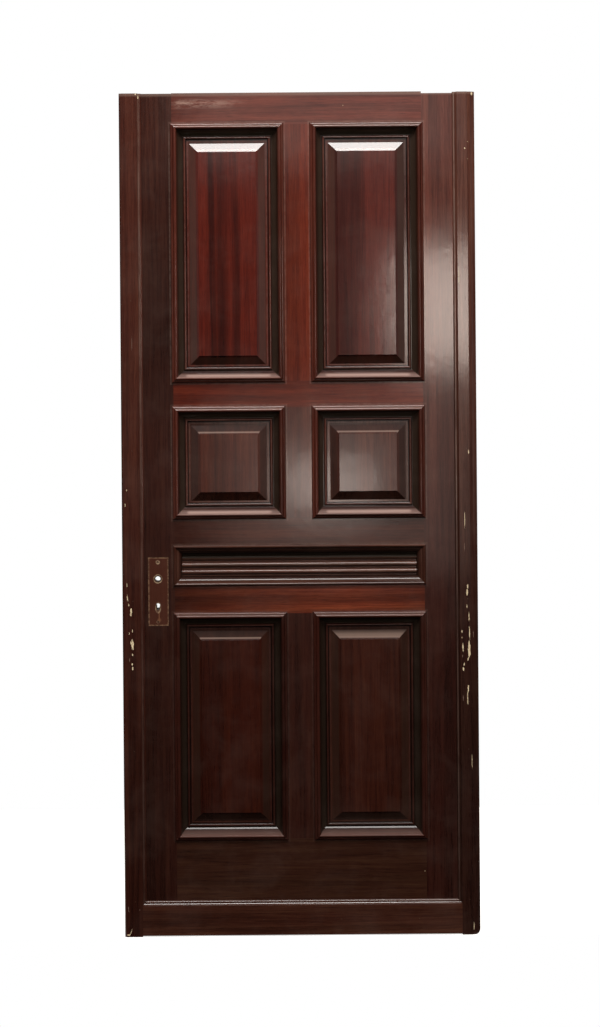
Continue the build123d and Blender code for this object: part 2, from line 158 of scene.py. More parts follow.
# A surface starts to count as facing up at the first and fully does at the second, where 1 is level.
FACES_UP = (0.05, 0.12)
# One that faces back more than this belongs to the door's back.
FACES_BACK = 0.5


def inside_spans(graph, coordinate, spans):
    """How far coordinate is inside the nearest of spans, below 0 outside. A span is (middle, half width)."""
    depths = []
    for middle, half in spans:
        offset = graph.math("ABSOLUTE", graph.math("SUBTRACT", coordinate, middle))
        depths.append(graph.math("SUBTRACT", half, offset))
    return graph.largest(*depths)


class Spot:
    """What is known of the point that a shader colours, as sockets: its place in metres, its x, y and z in
    mm, which way the surface faces, from -1 to 1, and how deep in mm it is inside the nearest opening."""

    def __init__(self, graph):
        self.graph = graph
        self.place = graph.node("TexCoord").outputs["Object"]
        self.x, self.y, self.z = [graph.product(metres, MM_PER_METRE) for metres in graph.split(self.place)]
        self.sideways, self.backward, self.upward = graph.split(graph.node("NewGeometry").outputs["Normal"])
        self.faces_up = graph.range(self.upward, *FACES_UP)
        self.not_on_back = graph.math("LESS_THAN", self.backward, FACES_BACK)
        self.depth = graph.largest(self.inside(OPENING_COLUMNS, OPENING_ROWS),
                                   self.inside(REEDED_COLUMNS, REEDED_ROWS))

    def inside(self, columns, rows):
        """How far the spot is inside the nearest box where columns and rows cross, below 0 outside."""
        return self.graph.smallest(inside_spans(self.graph, self.x, columns),
                                   inside_spans(self.graph, self.z, rows))

    def around(self, x, z, squash, stops):
        """Levels by the distance from x, z. Where squash is below 1, the rings are taller than wide."""
        graph = self.graph
        across = graph.math("SUBTRACT", self.x, x)
        up = graph.product(graph.math("SUBTRACT", self.z, z), squash)
        squares = graph.total(graph.product(across, across), graph.product(up, up))
        return graph.levels(graph.math("SQRT", squares), stops)

    def before_middle(self):
        """1 on the front half of the door's thickness and 0 behind it."""
        return self.graph.math("LESS_THAN", self.y, 0.0)


# What the place is scaled by, so that noise is drawn out along the grain.
GRAIN_UP = (1.0, 1.0, 0.03)
GRAIN_ACROSS = (0.03, 1.0, 1.0)
# The streaks of the grain, from dark to light: place, and what a board's red, green and blue are times.
STREAKS = [
    (0.30, 0.62, 0.52, 0.50),
    (0.46, 0.90, 0.84, 0.82),
    (0.58, 1.05, 1.08, 1.06),
    (0.74, 1.25, 1.38, 1.36),
]

WHITE = (1.0, 1.0, 1.0, 1.0)
# Pale dust; the same colour also paints highlights where the surface faces up and along the side strips.
DUST_AND_SHEEN = linear(158, 134, 122)
# A painted highlight: the light above mirrored on the upward slope of the mouldings under the panels.
LEDGE_HIGHLIGHT = linear(206, 176, 166)
PORES = linear(24, 8, 6)
# Olive grime in the mouldings' hollows, its darkness painted shade; the side mouldings get the darker one.
HOLLOW_GRIME_AND_SHADE = linear(76, 66, 53)
SIDE_HOLLOW_GRIME_AND_SHADE = linear(50, 39, 31)
# Painted on the panels' bevels: a pale painted reflection, and on the small panels a dark painted shade.
PALE_BEVEL_REFLECTION = linear(72, 52, 42)
DARK_BEVEL_SHADE = linear(44, 28, 20)

# How much light reaches each height of the door, as (z, level). The sides get darker sooner.
HEIGHT_SHADE = [(0, 0.50), (300, 0.50), (850, 0.60), (1200, 0.80), (1600, 0.92), (2134, 1.0)]
RIGHT_SIDE_SHADE = [(0, 0.24), (600, 0.26), (850, 0.34), (1200, 0.58), (1600, 0.88), (2134, 1.0)]
LOCK_SIDE_SHADE = [(0, 0.50), (850, 0.60), (1200, 0.80), (1500, 0.55), (1750, 0.65), (2000, 1.0),
                   (2134, 1.0)]
# How strong the dusty lines are at each height.
LINE_SHADE = [(0, 0.15), (900, 0.35), (1100, 0.8), (1500, 1.0)]
# Surfaces that face down are darker, as (upward, level).
FACING_SHADE = [(-0.6, 0.45), (-0.08, 0.6), (-0.02, 1.0), (0.6, 1.0)]
# The door's top edge is dusty above these heights.
TOP_EDGE_DUST = {"low": 2123.0, "high": 2130.0, "end": 0.3}

# Levels by depth inside an opening, as (depth, level). Light dusty lines of old varnish and wax run along
# every moulding: on the frame just outside it, on its edge, and on the panel beside it and at the foot of
# the raised field.
FRAME_LINES = [(-12, 0.0), (-8.5, 0.0), (-7.5, 0.16), (-5.0, 0.16), (-4.0, 0.0)]
MOULDING_LINES = [(-4, 0.30), (-3, 0.04), (2, 0.0), (29.5, 0.0), (31.5, 0.14), (33.5, 0.0), (36, 0.0)]
# MOULDING_SHADE, PANEL_SHADE and REEDED_SHADE are painted shade: darker bands where the mouldings' hollows
# and quirks lie in shadow.
MOULDING_SHADE = [(-4, 0.9), (2, 1.0), (12, 0.9), (14, 0.55), (25, 0.4), (27.5, 0.22), (29, 0.35),
                  (31, 0.95), (33, 0.9), (35, 0.3), (36, 0.2)]
PANEL_LINES = [(30, 0.0), (37.5, 0.0), (39, 0.15), (41, 0.12), (42.5, 0.0)]
# Painted shade: the dark gap round each panel inside its moulding.
PANEL_SHADE = [(34, 0.10), (37, 0.25), (38.5, 0.9), (42, 0.8), (60, 0.85), (67, 1.0)]
REEDED_LINES = [(-4, 0.1), (-2.5, 0.22), (-1, 0.0), (6, 0.0), (8, 0.10), (10, 0.0)]
# Painted shade in the hollows of the reeded panel's mouldings.
REEDED_SHADE = [(-4, 1.0), (10, 0.9), (14, 0.6), (19, 0.25), (24, 0.8)]
# A painted highlight on a raised field's arris, where it faces up.
ARRIS_LINE = [(61.0, 0.0), (62.3, 0.5), (65.0, 0.5), (66.2, 0.0)]
# Where the colour painted on a panel's bevel lies.
BEVEL_LIGHT_BAND = [(41.5, 0.0), (44.0, 0.45), (59.0, 0.45), (62.0, 0.0)]
# A pale band on the lower right panel's upper bevel.
LOW_RIGHT_BEVEL_PALE_BAND = [(42.5, 0.0), (48.0, 0.12), (56.0, 0.42), (62.0, 0.45), (63.0, 0.0)]
# Where the olive grime and painted shade lie in a moulding's hollow.
HOLLOW_GRIME_AND_SHADE_BAND = [(10.0, 0.0), (16.0, 0.9), (26.0, 0.9), (30.0, 0.0)]
CREST_WEAR = [(6.5, 0.0), (8.0, 0.8), (10.5, 0.8), (12.0, 0.0)]

# The painted highlight on the mouldings under the panels, the light above mirrored on their upward slope:
# its bright streak and its weaker spread, by depth and by height.
LEDGE_STREAK = [(9.0, 0.0), (11.0, 0.45), (14.0, 0.65), (16.5, 0.4), (19.0, 0.0)]
LEDGE_STREAK_HEIGHT = [(0, 0.1), (700, 0.1), (1000, 0.9), (2134, 1.0)]
LEDGE_FILM = [(-3.0, 0.0), (0.0, 0.12), (8.0, 0.16), (13.0, 0.26), (19.0, 0.10), (21.0, 0.0)]
LEDGE_FILM_HEIGHT = [(0, 0.45), (700, 0.45), (1000, 1.0), (2134, 1.0)]
# Between these distances from an opening's side, the streak begins.
MITRED_CORNER = (22.0, 40.0)


def painted_ledge_highlight(graph, spot):
    """A painted highlight on the inner slope of the mouldings under the panels, which faces up: the light
    above mirrored there. Its streak stops short of the mitred corners, and it is weaker low down."""
    streak = graph.product(
        graph.levels(spot.depth, LEDGE_STREAK),
        graph.range(inside_spans(graph, spot.x, OPENING_COLUMNS), *MITRED_CORNER),
        graph.levels(spot.z, LEDGE_STREAK_HEIGHT))
    painted_film = graph.product(graph.levels(spot.depth, LEDGE_FILM), graph.levels(spot.z, LEDGE_FILM_HEIGHT))
    return graph.product(graph.largest(streak, painted_film), spot.faces_up)


def bare_mahogany(graph, spot, grain, tint, ribbons):
    """The wood's colour, and its fibres for the bumps. Fibres, wider figure, slow dark ribbons and pores all
    run along the grain, and ribbons is the level that the darkest ribbons go down to."""
    red, green, blue = tint
    along = graph.scaled(spot.place, grain)
    fibres = graph.noise(along, 520.0, detail=4.0, roughness=0.65, distortion=0.4)
    figure = graph.noise(along, 60.0, detail=3.0, roughness=0.55, distortion=1.6)
    streaks = graph.total(graph.product(fibres, 0.45), graph.product(figure, 0.55))
    wood = graph.ramp(streaks, [(place, linear(red * more_red, green * more_green, blue * more_blue))
                                for place, more_red, more_green, more_blue in STREAKS])
    ribbon = graph.noise(along, 20.0, detail=2.0, distortion=0.8)
    wood = graph.shaded(wood, graph.ramp(ribbon, [(0.38, ribbons), (0.48, 0.9), (0.62, 1.0)]))
    pores = graph.noise(along, 1300.0, detail=1.0, distortion=0.2)
    return graph.mix(graph.range(pores, 0.56, 0.70, end=0.42), wood, PORES), fibres


def varnish_bumps(graph, spot, fibres):
    """The varnish isn't flat: it has wide waves and fine orange peel, and shows a little of the fibres."""
    waves = graph.noise(spot.place, 22.0, detail=3.0, roughness=0.55, distortion=0.2)
    orange_peel = graph.noise(spot.place, 260.0)
    skin = graph.total(graph.product(waves, 0.5), graph.product(orange_peel, 0.04),
                       graph.product(fibres, 0.05))
    return graph.bump(skin, strength=0.3, distance=0.0012)


def mahogany(name, grain, tint, ribbons=0.68, varnish=0.9, height_shade=HEIGHT_SHADE, tone=None,
             shade=None, lines=None, bevel_light=None, grime=None, ledges=False, upward_pale_bands=(), marks=None,
             dull=None):
    """Varnished mahogany of the tint, with its own light and dirt:
    tone is (x, level) for a board that changes along its length;
    shade and lines are (depth, level) of painted shade and of dusty light lines along an opening;
    bevel_light is the colour painted on a panel's bevel: a pale painted reflection, and a dark painted shade
    on the small panels;
    grime is the colour of olive grime in a moulding's hollow, with painted shade in its darkness;
    upward_pale_bands is a list of (depth, level) curves of pale colour where the surface faces up, such as
    the painted highlight on a field's arris;
    marks(graph, colour, spot) adds the marks of one piece;
    dull(graph, spot) is where the varnish is gone."""
    material, graph = new_material(name)
    spot = Spot(graph)
    wood, fibres = bare_mahogany(graph, spot, grain, tint, ribbons)
    # The colour painted on the panels' bevels: painted reflection, and painted shade on the small panels.
    if bevel_light:
        painted_film = graph.product(graph.levels(spot.depth, BEVEL_LIGHT_BAND), spot.not_on_back)
        wood = graph.mix(painted_film, wood, bevel_light)
    # Painted shade by depth inside an opening.
    if shade:
        wood = graph.shaded(wood, graph.levels(spot.depth, shade), spot.not_on_back)
    if tone:
        wood = graph.shaded(wood, graph.levels(spot.x, tone))
    # Olive grime in the hollows that don't face up, its darkness painted shade.
    if grime:
        not_upward = graph.range(spot.upward, 0.08, 0.0)
        wood = graph.mix(graph.product(graph.levels(spot.depth, HOLLOW_GRIME_AND_SHADE_BAND), not_upward), wood, grime)
    wood = graph.shaded(wood, graph.levels(spot.z, height_shade))
    wood = graph.shaded(wood, graph.levels(spot.upward, FACING_SHADE))
    clouds = graph.noise(spot.place, 9.0, detail=5.0, roughness=0.62, distortion=0.3)
    bloom = graph.largest(graph.range(clouds, 0.42, 0.75, end=0.035), graph.range(spot.z, **TOP_EDGE_DUST))
    wood = graph.mix(bloom, wood, DUST_AND_SHEEN)
    if lines:
        patchy = graph.noise(spot.place, 55.0, detail=4.0, roughness=0.7)
        breaks = graph.range(patchy, 0.35, 0.62, start=0.35)
        line = graph.product(graph.levels(spot.depth, lines), breaks, graph.levels(spot.z, LINE_SHADE),
                             spot.not_on_back)
        wood = graph.mix(line, wood, DUST_AND_SHEEN)
    # A painted highlight on the upward slope of the mouldings under the panels.
    if ledges:
        wood = graph.mix(painted_ledge_highlight(graph, spot), wood, LEDGE_HIGHLIGHT)
    # Pale colour where the surface faces up, such as the painted highlight on a field's arris.
    for curve in upward_pale_bands:
        wood = graph.mix(graph.product(graph.levels(spot.depth, curve), spot.faces_up), wood, DUST_AND_SHEEN)
    if marks:
        wood = marks(graph, wood, spot)
    coat = graph.product(graph.math("SUBTRACT", 1.0, dull(graph, spot)), varnish) if dull else varnish
    graph.show(graph.node("BsdfPrincipled", {
        "Base Color": wood,
        "Roughness": graph.range(clouds, 0.3, 0.8, start=0.34, end=0.55),
        "Specular IOR Level": 0.05,
        "Normal": graph.bump(fibres, strength=0.25, distance=0.0002),
        "Coat Weight": coat,
        "Coat Roughness": 0.12,
        "Coat IOR": 1.5,
        "Coat Normal": varnish_bumps(graph, spot, fibres),
    }))
    return material


def dress(names, material):
    for name in names:
        data = nodes[name].data
        data.materials.clear()
        data.materials.append(material)


def crest_wear(graph, spot):
    """The varnish is dull on the crest of the mouldings under the panels."""
    return graph.product(graph.levels(spot.depth, CREST_WEAR), spot.faces_up)


# Boxes on the lock stile, each as its columns and rows of (middle, half width).
LOCK_HOLES = ([(-360, 14)], [(871, 90)])
LOCK_PLATE = ([(-358.8, 24.7)], [(871.9, 85.6)])
SCRATCH = ([(-357.5, 1.2)], [(812, 9.5)])


def bore_walls(graph, spot):
    """The walls of the holes through the lock stile: unvarnished, and painted dark as shade."""
    side_on = graph.math("LESS_THAN", graph.math("ABSOLUTE", spot.backward), FACES_BACK)
    return graph.product(side_on, graph.math("GREATER_THAN", spot.inside(*LOCK_HOLES), 0.0))


def above_reeds(graph, spot):
    """On the front, the flat above the reeds and the highest reed: a painted shadow of the moulding above,
    dark and without varnish.
    """
    return graph.product(graph.range(spot.z, 950.0, 957.0, end=0.97), spot.before_middle())


# Painted shadow on the top of the reeds.
def reed_grime(graph, wood, spot):
    return graph.mix(above_reeds(graph, spot), wood, linear(34, 28, 22))


PLATE_OUTLINE = [(-1.5, 0.0), (-0.4, 0.62), (1.4, 0.50), (2.6, 0.0)]
PLATE_WOOD = linear(92, 50, 36)
PLATE_EDGE = linear(150, 118, 92)
RING_WOOD = linear(196, 172, 140)
SCRATCHED_WOOD = linear(160, 112, 80)
# Painted shade on the walls of the holes.
BORE_SHADE = linear(40, 28, 20)
# The bare rings round the spindle hole, the keyhole and the plate's two screw holes: x, z, squash and
# (distance, level).
HOLE_RINGS = [
    (-360, 904, 1.0, [(9.0, 0.2), (9.8, 0.75), (10.8, 0.6), (12.0, 0.0)]),
    (-360, 831, 0.52, [(5.0, 0.1), (6.2, 0.6), (8.0, 0.0)]),
    (-360, 946.5, 1.0, [(2.6, 0.1), (3.4, 0.85), (5.0, 0.5), (6.2, 0.0)]),
    (-360, 795.5, 1.0, [(2.6, 0.1), (3.4, 0.35), (5.0, 0.0)]),
]
SMEAR = (-357, 800, 1.0, [(0.0, 1.0), (7.0, 0.0)])


def lock_marks(graph, wood, spot):
    """Where the lock's plate was: a paler outline round redder wood, bare rings at the holes, and a scratch
    with a smear at its foot."""
    patchy = graph.noise(spot.place, 130.0, detail=4.0, roughness=0.7)
    patches = graph.range(patchy, 0.40, 0.60, start=0.25)
    plate = spot.inside(*LOCK_PLATE)
    wood = graph.mix(graph.range(plate, 0.0, 1.5, end=0.40), wood, PLATE_WOOD)
    outline = graph.product(graph.levels(plate, PLATE_OUTLINE), patches)
    wood = graph.mix(outline, wood, PLATE_EDGE)
    for ring in HOLE_RINGS:
        wood = graph.mix(graph.product(spot.around(*ring), patches), wood, RING_WOOD)
    scratch = graph.range(spot.inside(*SCRATCH), 0.0, 0.8, end=0.5)
    smear = graph.range(spot.around(*SMEAR), 0.0, 1.0, end=0.35)
    return graph.mix(graph.largest(scratch, smear), wood, SCRATCHED_WOOD)


# The floors of the recesses, by the distance from the door's middle.
RECESS_FLOORS = [(438, 0.0), (441, 1.0), (448, 1.0), (449, 0.0)]


def bare_recesses(graph, wood, spot):
    """Unvarnished wood where the hinges and the lock's edge plate were let into the door's edges."""
    floors = graph.levels(graph.math("ABSOLUTE", spot.x), RECESS_FLOORS)
    turned = graph.math("GREATER_THAN", graph.math("ABSOLUTE", spot.sideways), 0.6)
    fibres = graph.noise(graph.scaled(spot.place, GRAIN_UP), 400.0, detail=3.0, roughness=0.6)
    bare = graph.ramp(fibres, [(0.35, linear(112, 70, 48)), (0.65, linear(164, 118, 84))])
    return graph.mix(graph.product(floors, turned, 0.85), wood, bare)


def lock_stile_marks(graph, wood, spot):
    wood = bare_recesses(graph, lock_marks(graph, wood, spot), spot)
    # The holes' walls are painted dark as shade.
    return graph.mix(bore_walls(graph, spot), wood, BORE_SHADE)


TOP_SMEAR_ACROSS = [(-330, 0.0), (-300, 1.0), (-220, 0.8), (-120, 0.0)]
TOP_SMEAR_UP = [(2092, 0.0), (2108, 1.0), (2122, 0.0)]


def top_smear(graph, wood, spot):
    """Clouded varnish at the left of the top rail."""
    patchy = graph.noise(graph.scaled(spot.place, (0.25, 1.0, 1.0)), 90.0, detail=4.0, roughness=0.7)
    level = graph.product(
        graph.levels(spot.x, TOP_SMEAR_ACROSS), graph.levels(spot.z, TOP_SMEAR_UP),
        graph.range(patchy, 0.4, 0.65), 0.4, spot.before_middle())
    return graph.mix(level, wood, linear(206, 176, 160))


# Painted highlights along the small moulding of each side strip.
STRIP_HIGHLIGHTS = [
    [(-404.0, 0.0), (-402.0, 0.27), (-399.5, 0.27), (-397.5, 0.0)],
    [(395.0, 0.0), (396.0, 0.34), (398.0, 0.34), (400.0, 0.0)],
]
STRIP_HIGHLIGHT_HEIGHT = [(0, 0.25), (900, 0.45), (1500, 1.0), (2134, 1.0)]


def strip_highlights(graph, wood, spot):
    """A painted highlight along the small moulding of each side strip, in breaks and weaker low down."""
    patchy = graph.noise(graph.scaled(spot.place, (1.0, 1.0, 0.2)), 60.0, detail=4.0, roughness=0.7)
    breaks = graph.range(patchy, 0.35, 0.6, start=0.3)
    height = graph.levels(spot.z, STRIP_HIGHLIGHT_HEIGHT)
    for line in STRIP_HIGHLIGHTS:
        wood = graph.mix(graph.product(graph.levels(spot.x, line), breaks, height), wood, DUST_AND_SHEEN)
    return wood


UPRIGHTS = {
    "lock_stile": {"tint": (64, 32, 24), "height_shade": LOCK_SIDE_SHADE, "marks": lock_stile_marks,
                   "dull": bore_walls},
    "hinge_stile": {"tint": (98, 50, 40), "height_shade": RIGHT_SIDE_SHADE, "marks": bare_recesses},
    "lower_mullion": {"tint": (74, 37, 28)},
    "small_mullion": {"tint": (88, 42, 31)},
    "upper_mullion": {"tint": (108, 39, 21)},
}
RAILS = {
    "bottom_rail": {"tint": (78, 46, 33)},
    "lock_rail": {"tint": (146, 66, 40), "tone": [(-330, 0.25), (-150, 0.6), (120, 1.0), (330, 0.65)]},
    "middle_rail": {"tint": (86, 40, 27), "tone": [(-330, 0.45), (-90, 1.0), (330, 0.8)]},
    "upper_rail": {"tint": (100, 36, 20)},
    "top_rail": {"tint": (112, 50, 38), "tone": [(-330, 0.65), (-200, 0.9), (330, 1.0)],
                 "marks": top_smear},
}
RAISED_PANELS = {
    "upper_left_panel": {"tint": (88, 26, 16), "ribbons": 0.45},
    "upper_right_panel": {"tint": (84, 28, 20), "ribbons": 0.5},
    "small_left_panel": {"tint": (86, 40, 28), "bevel_light": DARK_BEVEL_SHADE},
    "small_right_panel": {"tint": (84, 42, 32), "bevel_light": DARK_BEVEL_SHADE},
    "lower_left_panel": {"tint": (74, 29, 17), "ribbons": 0.75},
    "lower_right_panel": {"tint": (76, 35, 23), "ribbons": 0.75, "upward_pale_bands": [LOW_RIGHT_BEVEL_PALE_BAND, ARRIS_LINE]},
}
REEDED_PANEL = {
    "reeded_panel": {"tint": (112, 72, 60), "varnish": 0.7, "marks": reed_grime, "dull": above_reeds},
}
ANY_PANEL = {"bevel_light": PALE_BEVEL_REFLECTION, "upward_pale_bands": [ARRIS_LINE]}
BOARDS = [
    (UPRIGHTS, {"grain": GRAIN_UP, "lines": FRAME_LINES}),
    (RAILS, {"grain": GRAIN_ACROSS, "lines": FRAME_LINES}),
    (RAISED_PANELS, {"grain": GRAIN_UP, "lines": PANEL_LINES, "shade": PANEL_SHADE, **ANY_PANEL}),
    (REEDED_PANEL, {"grain": GRAIN_ACROSS, "lines": FRAME_LINES, **ANY_PANEL}),
]
for boards, shared_look in BOARDS:
    for name, own_look in boards.items():
        dress([name], mahogany("mahogany_" + name, **{**shared_look, **own_look}))

MOULDING_TINT = (90, 40, 29)
LOW_SIDE_TINT = (72, 34, 26)
REEDED_TINT = (84, 46, 34)
BACK_TINT = (122, 56, 40)
front_mouldings = [name for name in nodes if name.endswith("_moulding") and "_back_" not in name]
back_mouldings = [name for name in nodes if name.endswith("_back_moulding")]


def dress_front_mouldings(label, sides, grain, low_tint, **look):
    """The lengths on the given sides of every opening. Round the lower panels they are duller."""
    chosen = [name for name in front_mouldings if name.split("_")[-2] in sides]
    groups = [("", ("upper", "small"), MOULDING_TINT, 0.7), ("lower_", ("lower",), low_tint, 0.4)]
    for part, openings, tint, varnish in groups:
        dress([name for name in chosen if name.startswith(openings)],
              mahogany("mahogany_moulding_" + part + label, grain, tint, varnish=varnish,
                       lines=MOULDING_LINES, shade=MOULDING_SHADE, **look))
    dress([name for name in chosen if name.startswith("reeded")],
          mahogany("mahogany_reeded_moulding_" + label, grain, REEDED_TINT, varnish=0.5,
                   lines=REEDED_LINES, shade=REEDED_SHADE))


dress_front_mouldings("upright", ("left", "right"), GRAIN_UP, LOW_SIDE_TINT, grime=SIDE_HOLLOW_GRIME_AND_SHADE)
dress_front_mouldings("level", ("top", "bottom"), GRAIN_ACROSS, MOULDING_TINT, grime=HOLLOW_GRIME_AND_SHADE, ledges=True,
                      dull=crest_wear)
dress(back_mouldings, mahogany("mahogany_back_moulding", GRAIN_UP, BACK_TINT))
dress(["lock_side_strip"], mahogany("mahogany_lock_side_strip", GRAIN_UP, (80, 40, 30), marks=strip_highlights))
dress(["hinge_side_strip"], mahogany("mahogany_hinge_side_strip", GRAIN_UP, (88, 50, 40),
                                     marks=strip_highlights, height_shade=RIGHT_SIDE_SHADE))
dress(["foot_strip"], mahogany("mahogany_strip_level", GRAIN_ACROSS, (98, 56, 42)))


def iron():
    material, graph = new_material("rusty_iron")
    rust = graph.noise(graph.node("TexCoord").outputs["Object"], 900.0, detail=4.0, roughness=0.7)
    graph.show(graph.node("BsdfPrincipled", {
        "Base Color": graph.ramp(rust, [(0.35, linear(44, 34, 30)), (0.6, linear(92, 62, 44))]),
        "Metallic": 0.6,
        "Roughness": graph.range(rust, 0.3, 0.7, start=0.4, end=0.8),
    }))
    return material


dress(["border_nails"], iron())


def bare_wood(name, pale, dark):
    """Wood with the varnish knocked off it: dull, with brown remains."""
    material, graph = new_material(name)
    along = graph.scaled(graph.node("TexCoord").outputs["Object"], (1.0, 1.0, 0.4))
    remains = graph.noise(along, 420.0, detail=4.0, roughness=0.7)
    graph.show(graph.node("BsdfPrincipled", {
        "Base Color": graph.ramp(remains, [(0.36, dark), (0.5, pale), (0.7, pale)]),
        "Roughness": 0.85,
        "Normal": graph.bump(remains, strength=0.6, distance=0.0006),
    }))
    return material


def add_mesh(name, points, faces, material):
    mesh = bpy.data.meshes.new(name)
    mesh.from_pydata(points, [], faces)
    mesh.materials.append(material)
    made = bpy.data.objects.new(name, mesh)
    bpy.context.scene.collection.objects.link(made)
    return made


def add_piece(name, points, faces, material):
    """A mesh that belongs to the door."""
    piece = add_mesh(name, points, faces, material)
    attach(piece, "root")


def door_surface():
    points, faces = [], []
    for node in nodes.values():
        first = len(points)
        points += [vertex.co.copy() for vertex in node.data.vertices]
        faces += [[first + index for index in face.vertices] for face in node.data.polygons]
    return BVHTree.FromPolygons(points, faces)


SURFACE = door_surface()
PROUD = 0.00012  # metres that a mark stands in front of the wood
BEFORE_DOOR = -1.0


def on_surface(x, z):
    """The point of the door's front at x, z in mm, a hair in front of it, or None beside the door."""
    hit, normal, _, _ = SURFACE.ray_cast(Vector((x * MM, BEFORE_DOOR, z * MM)), Vector((0, 1, 0)))
    return None if hit is None else hit + normal * PROUD * (1 if normal.y < 0 else -1)


FLAKE_STEPS = 22
FLAKE_RINGS = (0.45, 0.8, 1.0)
FLAKE_TEAR = (0.6, 1.15)


def add_flakes(name, flakes, material, seed):
    """One piece of several torn spots that lie on the door. Each is its middle x, z, width and height in mm,
    and its lean in degrees."""
    chance = random.Random(seed)
    points, faces = [], []
    for x, z, width, height, lean in flakes:
        lean = math.radians(lean)
        torn = [chance.uniform(*FLAKE_TEAR) for _ in range(FLAKE_STEPS)]
        first = len(points)
        points.append(on_surface(x, z))
        for share in FLAKE_RINGS:
            for step in range(FLAKE_STEPS):
                angle = 2 * math.pi * step / FLAKE_STEPS
                reach = share * torn[step]
                across = 0.5 * width * math.cos(angle) * reach
                up = 0.5 * height * math.sin(angle) * reach
                place = on_surface(x + across * math.cos(lean) - up * math.sin(lean),
                                   z + across * math.sin(lean) + up * math.cos(lean))
                points.append(points[-1] if place is None else place)
        for step in range(FLAKE_STEPS):
            after = (step + 1) % FLAKE_STEPS
            faces.append((first, first + 1 + step, first + 1 + after))
            for ring in range(len(FLAKE_RINGS) - 1):
                inner = first + 1 + ring * FLAKE_STEPS
                outer = inner + FLAKE_STEPS
                faces.append((inner + step, outer + step, outer + after, inner + after))
    add_piece(name, points, faces, material)


# Torn spots, each as middle x, z, width, height and lean.
LOCK_SIDE_CHIPS = [
    (-437, 858, 2.6, 18, 4), (-434, 840, 2.6, 8, 12), (-428, 821, 5.0, 21, -3), (-433, 768, 2.2, 6, 0),
    (-425, 774, 2.2, 8, 0), (-425, 740, 6.4, 31, 2), (-429, 744, 3.0, 12, 0), (-425, 714, 3.2, 7, 10),
    (-426, 690, 3.4, 6, 0), (-425, 679, 3.4, 10, -4), (-437, 1130, 2.0, 6, 0), (-441, 1092, 2.0, 10, 0),
    (-438, 890, 1.8, 12, 4), (-407, 2130.4, 2.5, 6, 0), (-401, 2123, 2.5, 10, 0), (-440, 6, 9.0, 4, 0),
    (-434, 13, 1.4, 20, -18),
]
HINGE_SIDE_CHIPS = [
    (423, 880, 3.4, 12, 2), (422, 866, 5.0, 18, -3), (421, 830, 2.6, 10, 0), (426, 803, 2.6, 24, 0),
    (427, 765, 2.6, 40, 1), (426, 722, 7.6, 40, 2), (423, 697, 2.6, 10, -8), (408, 767, 2.4, 8, 0),
    (408, 751, 2.2, 5, 0), (410, 727, 3.6, 26, 3), (413, 684, 2.6, 10, -12), (411, 672, 4.6, 10, 6),
    (423, 622, 3.6, 22, 0), (421, 598, 2.4, 40, 1), (431, 437, 2.0, 40, 0), (428, 1221, 2.6, 12, 5),
    (417, 1050, 1.8, 46, 0), (407, 1666, 1.2, 53, 0), (424, 1988, 4.0, 4, 0), (432, 2005, 2.0, 2, 0),
    (431, 1962, 2.0, 2, 0), (443, 2126, 5.0, 10, 0), (118, 2100, 2.0, 2, 0), (311, 159, 2.4, 2.4, 0),
    (433, 21, 1.6, 25, 0),
]
FAINT_MARKS = [
    (-440, 70, 1.8, 18, 5), (-412, 69, 2.0, 3, 0), (410, 598, 2.0, 16, 0), (409, 704, 2.0, 8, 0),
    (437, 760, 1.6, 20, 0), (-433, 700, 1.6, 12, 0), (-421, 1500, 1.2, 40, 0), (416, 980, 1.4, 24, 0),
]
chipped = bare_wood("chipped_pale", linear(226, 208, 172), linear(128, 92, 62))
rubbed = bare_wood("rubbed", linear(120, 96, 82), linear(70, 46, 36))
add_flakes("lock_side_chips", LOCK_SIDE_CHIPS, chipped, seed=3)
add_flakes("hinge_side_chips", HINGE_SIDE_CHIPS, chipped, seed=5)
add_flakes("faint_rubs", FAINT_MARKS, rubbed, seed=8)

SHADE_RING_STEPS = 48
SHADE_RING_THICKNESS = 1.2
SHADE_RING_TEAR = (0.94, 1.05)


def add_shade_ring(name, middle, reach, opening, seed):
    """A dark torn ring that stands into a hole just behind the door's front, standing in for the shade
    inside the hole, so that less light shows through it. middle is x, y, z in mm."""
    chance = random.Random(seed)
    middle_x, front, middle_z = middle
    points, faces = [], []
    for back in (0.0, SHADE_RING_THICKNESS):
        for radius, tear in ((reach, None), (opening, SHADE_RING_TEAR)):
            for step in range(SHADE_RING_STEPS):
                angle = 2 * math.pi * step / SHADE_RING_STEPS
                torn = radius * chance.uniform(*tear) if tear else radius
                points.append(Vector((middle_x + torn * math.cos(angle), front + back,
                                      middle_z + torn * math.sin(angle))) * MM)
    front_outer, front_inner, back_outer, back_inner = [ring * SHADE_RING_STEPS for ring in range(4)]
    rings = [front_outer, front_inner, back_inner, back_outer, front_outer]
    for first, second in zip(rings, rings[1:]):
        for step in range(SHADE_RING_STEPS):
            after = (step + 1) % SHADE_RING_STEPS
            faces.append((first + step, first + after, second + after, second + step))
    add_piece(name, points, faces, bare_wood("shade_ring_wood", linear(58, 40, 28), linear(30, 20, 15)))


SPINDLE_X, SPINDLE_Z = -360.0, 904.0
BESIDE_SPINDLE = 15
SHADE_RING_BEHIND_FRONT = 2.0
front_y = on_surface(SPINDLE_X - BESIDE_SPINDLE, SPINDLE_Z).y / MM
# A dark ring in the spindle hole stands in for its shade.
add_shade_ring("spindle_hole_shade_ring", (SPINDLE_X, front_y + SHADE_RING_BEHIND_FRONT, SPINDLE_Z),
                reach=8.95, opening=6.6, seed=11)

